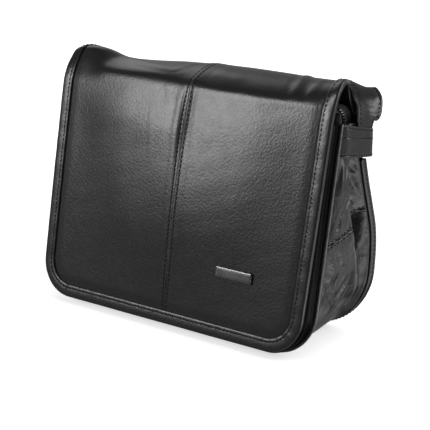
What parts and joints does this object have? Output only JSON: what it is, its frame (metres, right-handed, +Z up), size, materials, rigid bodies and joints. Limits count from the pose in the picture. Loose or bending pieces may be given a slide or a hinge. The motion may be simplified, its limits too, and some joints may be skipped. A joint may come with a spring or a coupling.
{
  "type": "shoulder bag",
  "caption": "Flap-over leather shoulder bag with a bound, centre-seamed flap, pleated sides, a zip under the flap and a flat strap held in side tabs.",
  "frame": {"origin": "middle of the base, on the surface that the bag stands on", "axes": "+X across the bag to the wearer's right as seen from the flap, +Y from the flap to the back, +Z up"},
  "size_m": [0.3334, 0.29, 0.2331],
  "materials": {
    "smooth_leather": "smooth satin black leather with a faint grain",
    "soft_leather": "soft creased black leather",
    "zip_tape": "woven black zip tape",
    "nickel": "dark polished nickel"
  },
  "bodies": {
    "root": {"flap_left": "smooth_leather", "flap_right": "smooth_leather", "flap_binding": "smooth_leather", "badge": "nickel", "front_panel": "smooth_leather", "front_gusset": "soft_leather", "divider_panel": "soft_leather", "front_piping": "smooth_leather", "base_gusset": "soft_leather", "gusset_upper_right": "soft_leather", "gusset_upper_left": "soft_leather", "back_panel": "smooth_leather", "back_binding": "smooth_leather", "zip_tape_front": "zip_tape", "zip_tape_back": "zip_tape", "zip_teeth": "nickel", "zip_slider": "nickel", "strap": "smooth_leather", "strap_tab_right": "smooth_leather", "strap_tab_left": "smooth_leather"}
  },
  "joints": []
}
